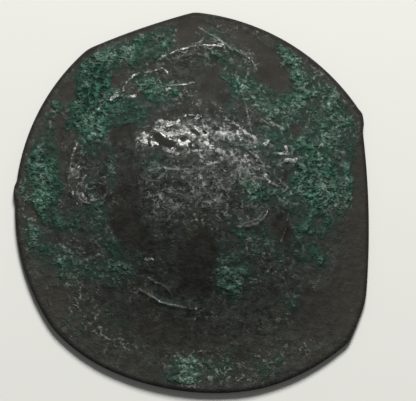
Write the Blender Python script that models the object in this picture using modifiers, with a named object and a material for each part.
"""A cup-shaped bronze coin, clipped round its edge and worn almost smooth.

It lies on its rim with the bulging face up. Lengths are in millimetres, and MM turns them into metres.
+Z is up, +Y runs up the struck design, and the origin is at the middle of the coin's box, on the plane
that the rim rests on.
"""

import math

import bpy
from mathutils import Vector, noise

MM = 0.001

# Section through the sheet of metal
RIM_THICKNESS = 0.55
DISH_RISE = 1.5  # the even curve of the whole dish
BULGE_RISE = 2.0  # the steeper bulge that the dies pressed into its middle
EDGE_ROUNDING = 0.2
LAND_WIDTH = 0.6  # the flat under the rim, worn by lying on it

# The dish is level along circles, which slide from the apex to DISH_MIDDLE as they widen, because the
# bulge is struck a little off the middle. Towards the rim the level lines come to follow the clipped edge.
APEX = Vector((0.4, 1.0))
DISH_MIDDLE = Vector((0.45, -0.35))
DISH_RADIUS = 14.3
EDGE_FOLLOWED = 0.75  # how far the rim follows the clipped edge, where 1 would make it quite level
FOLLOWED_FROM = 0.5  # the share of the radius where the level lines start to follow it

# Plan of the flan: the edge is several shallow arcs, each left by one clip of the shears.
# Each arc has the direction it faces in degrees, its distance from the middle and its radius.
CLIPS = (
    (60, 14.4, 16.9),
    (111, 13.9, 57.0),
    (171, 13.4, 16.3),
    (230, 14.35, 16.2),
    (251, 14.3, 19.8),
    (352, 14.7, 30.0),
    (2, 13.5, 62.0),
)
CORNER_SHARPNESS = 300  # a higher number leaves less round where two arcs meet

# Mesh of the flan
TURNED_RADIUS = 14.0
STEPS = 112
TOP_RINGS = 28
UNDER_RINGS = 9

# Raised lines left of the struck design: height, half of the width, and the line's points.
# The oval border was struck twice, the second time a little higher up the flan.
WORN_BORDER = 0.10
BORDER_HALF_WIDTH = 0.55
LINE_HALF_WIDTH = 0.5
RIDGES = {
    "border, top": (
        0.17,
        BORDER_HALF_WIDTH,
        ((-2.5, 11.3), (-1.3, 11.6), (-0.1, 11.9), (1.1, 12.0), (2.3, 12.0), (3.7, 11.4), (5.0, 10.5)),
    ),
    "border, second strike": (
        0.15,
        BORDER_HALF_WIDTH,
        ((0.6, 13.2), (1.5, 12.6), (2.4, 12.2), (3.3, 11.6)),
    ),
    "border, left": (
        WORN_BORDER,
        BORDER_HALF_WIDTH,
        ((-6.4, 7.8), (-8.3, 5.7), (-9.2, 3.0), (-9.6, 0.7), (-9.2, -2.0), (-8.0, -4.3)),
    ),
    "border, right": (
        WORN_BORDER,
        BORDER_HALF_WIDTH,
        ((6.9, 4.4), (7.5, 2.1), (7.4, -0.6), (6.7, -3.3)),
    ),
    "border, bottom": (
        0.18,
        BORDER_HALF_WIDTH,
        ((-3.8, -6.9), (-3.2, -7.3), (-2.6, -7.7), (-1.7, -8.1), (-0.3, -8.3)),
    ),
    "border, bottom, second strike": (
        0.13,
        LINE_HALF_WIDTH,
        ((-3.3, -6.0), (-2.6, -6.7), (-1.7, -7.0)),
    ),
    "stroke, upper left": (
        0.15,
        LINE_HALF_WIDTH,
        ((-5.2, 8.2), (-4.7, 9.2), (-4.1, 9.7), (-3.1, 9.9), (-2.1, 9.8)),
    ),
    "stroke beside the head, left": (0.14, LINE_HALF_WIDTH, ((-1.9, 8.5), (-1.0, 8.8), (0.0, 9.0))),
    "stroke beside the head, right": (
        0.14,
        LINE_HALF_WIDTH,
        ((3.1, 9.7), (3.6, 8.3), (4.0, 6.9), (4.4, 5.6)),
    ),
    "curl, right": (0.18, LINE_HALF_WIDTH, ((3.4, -2.3), (4.3, -2.1), (5.0, -1.6), (5.5, -0.9))),
}
# A small raised ring: height, half of the width, middle and radius
RING = (0.12, 0.45, (-7.6, 0.6), 0.75)

# The figure, rubbed down to soft swellings: rise, middle, half width and half height
FIGURE = {
    "head": (0.13, (0.8, 7.6), (1.9, 2.5)),
    "shoulders and chest": (0.10, (1.2, 2.6), (5.6, 3.4)),
    "lap and knees": (0.08, (1.0, -3.2), (4.3, 4.6)),
}
SWELLING_EDGE = 0.4  # the share of a swelling's half width that its soft edge takes

# Hammering and corrosion leave the sheet a little uneven
UNEVENNESS = 0.05
UNEVENNESS_SIZE = 3.2
FADE_SHARE = 0.25  # under the coin it dies out over this share of the radius, before the land

BRONZE = (0.052, 0.050, 0.044, 1.0)


def rim_distance(angle):
    """Distance from the middle to the edge: the nearest clip's arc, with the corners a little rounded."""
    reaches = []
    for direction, distance, radius in CLIPS:
        offset = radius - distance
        along = offset * math.cos(angle - math.radians(direction))
        reaches.append(math.sqrt(along**2 - offset**2 + radius**2) - along)
    nearest = min(reaches)
    total = sum((reach / nearest) ** -CORNER_SHARPNESS for reach in reaches)
    return nearest * total ** (-1 / CORNER_SHARPNESS)


def top_height(share):
    """Height of the upper face at a share of the way from the apex to the rim."""
    dish = DISH_RISE * (1 - share**2)
    bulge = BULGE_RISE * (1 + math.cos(math.pi * share)) / 2
    return RIM_THICKNESS + dish + bulge


LAND_OUTER = 1 - EDGE_ROUNDING / TURNED_RADIUS
LAND_INNER = LAND_OUTER - LAND_WIDTH / TURNED_RADIUS
SHEET_THICKNESS = top_height(LAND_INNER)  # upright, so that the hollow meets the land without a step


def smooth(value):
    """0 to 1, with a soft start and end."""
    value = min(max(value, 0.0), 1.0)
    return value * value * (3 - 2 * value)


def level_share(place, share):
    """The share of the radius whose height a place on the dish has."""
    slide = DISH_MIDDLE - APEX
    offset = place - APEX
    growth = DISH_RADIUS**2 - slide.length_squared
    drift = offset.dot(slide)
    round_share = (math.sqrt(drift**2 + growth * offset.length_squared) - drift) / growth
    followed = EDGE_FOLLOWED * smooth((share - FOLLOWED_FROM) / (1 - FOLLOWED_FROM))
    return round_share + (share - round_share) * followed


def section():
    """Half of the coin's section, from the top of the apex round the rim to the underside of the apex."""
    points = []
    for ring in range(TOP_RINGS + 1):
        share = LAND_OUTER * ring / TOP_RINGS
        points.append((share * TURNED_RADIUS, top_height(share)))
    bend = TURNED_RADIUS - EDGE_ROUNDING
    edge_top = top_height(LAND_OUTER) - EDGE_ROUNDING
    for centre_height, turns in ((edge_top, (45, 0)), (EDGE_ROUNDING, (0, -45, -90))):
        for turn in turns:
            out = EDGE_ROUNDING * math.cos(math.radians(turn))
            up = EDGE_ROUNDING * math.sin(math.radians(turn))
            points.append((bend + out, centre_height + up))
    for ring in range(UNDER_RINGS + 1):
        share = LAND_INNER * (1 - ring / UNDER_RINGS)
        points.append((share * TURNED_RADIUS, top_height(share) - SHEET_THICKNESS))
    return points


def turned_blank():
    """The section turned into a round dish, as a plain mesh."""
    points = section()
    profile = bpy.data.meshes.new("section")
    profile.from_pydata(
        [(r * MM, 0, z * MM) for r, z in points],
        [(i, i + 1) for i in range(len(points) - 1)],
        [],
    )
    turned = bpy.data.objects.new("section", profile)
    bpy.context.scene.collection.objects.link(turned)
    screw = turned.modifiers.new("Turn", "SCREW")
    screw.axis = "Z"
    screw.angle = math.tau
    screw.steps = STEPS
    screw.render_steps = STEPS
    screw.use_merge_vertices = True
    screw.merge_threshold = 1e-6
    graph = bpy.context.evaluated_depsgraph_get()
    blank = bpy.data.meshes.new_from_object(turned.evaluated_get(graph))
    blank.name = "coin"
    bpy.data.objects.remove(turned)
    bpy.data.meshes.remove(profile)
    return blank


def line_distance(place, path):
    """Distance from a place to the nearest point of a path of straight pieces."""
    nearest = math.inf
    for start, end in zip(path, path[1:]):
        start, end = Vector(start), Vector(end)
        run = end - start
        along = min(max((place - start).dot(run) / run.length_squared, 0.0), 1.0)
        nearest = min(nearest, (place - start - run * along).length)
    return nearest


def raised(height, half_width, distance):
    """Height of a rounded ridge at a distance from its crest."""
    if distance >= half_width:
        return 0.0
    return height * (1 - (distance / half_width) ** 2) ** 2


def relief(place):
    """Height of the worn design above the plain flan."""
    height, half_width, middle, radius = RING
    ring_distance = abs((place - Vector(middle)).length - radius)
    lines = raised(height, half_width, ring_distance)
    for height, half_width, path in RIDGES.values():
        lines = max(lines, raised(height, half_width, line_distance(place, path)))
    swelling = 0.0
    for rise, middle, (half_x, half_y) in FIGURE.values():
        offset = place - Vector(middle)
        outwards = math.hypot(offset.x / half_x, offset.y / half_y)
        swelling = max(swelling, rise * smooth((1 - outwards) / SWELLING_EDGE))
    return lines + swelling


def strike(mesh):
    """Clips the round dish to the flan's plan, evens its slopes, and raises the design on its upper face."""
    for vertex in mesh.vertices:
        x, y, z = vertex.co / MM
        share = math.hypot(x, y) / TURNED_RADIUS
        angle = math.atan2(y, x)
        reach = rim_distance(angle) * share
        place = Vector((reach * math.cos(angle), reach * math.sin(angle)))
        depth = (top_height(share) - z) / SHEET_THICKNESS
        on_top = smooth(1 - 2 * depth)
        inwards = smooth((LAND_INNER - share) / FADE_SHARE)
        change = top_height(level_share(place, share)) - top_height(share)
        change += UNEVENNESS * noise.noise((place / UNEVENNESS_SIZE).to_3d())
        z += change * max(inwards, on_top) + relief(place) * on_top
        vertex.co = Vector((*place, z)) * MM


def centre_on_box(mesh):
    """Puts the origin at the middle of the plan's box."""
    for axis in (0, 1):
        places = [vertex.co[axis] for vertex in mesh.vertices]
        middle = (min(places) + max(places)) / 2
        for vertex in mesh.vertices:
            vertex.co[axis] -= middle


def bronze():
    """Old bronze under a dark brown patina."""
    material = bpy.data.materials.new("bronze")
    material.use_nodes = True
    surface = material.node_tree.nodes["Principled BSDF"]
    surface.inputs["Base Color"].default_value = BRONZE
    surface.inputs["Metallic"].default_value = 0.5
    surface.inputs["Roughness"].default_value = 0.55
    return material


for old in list(bpy.data.objects):
    bpy.data.objects.remove(old)

coin_mesh = turned_blank()
strike(coin_mesh)
centre_on_box(coin_mesh)
coin_mesh.shade_smooth()
coin_mesh.set_sharp_from_angle(angle=math.radians(50))
coin_mesh.materials.append(bronze())

coin_collection = bpy.data.collections.new("Coin")
bpy.context.scene.collection.children.link(coin_collection)
coin_collection.objects.link(bpy.data.objects.new("coin", coin_mesh))
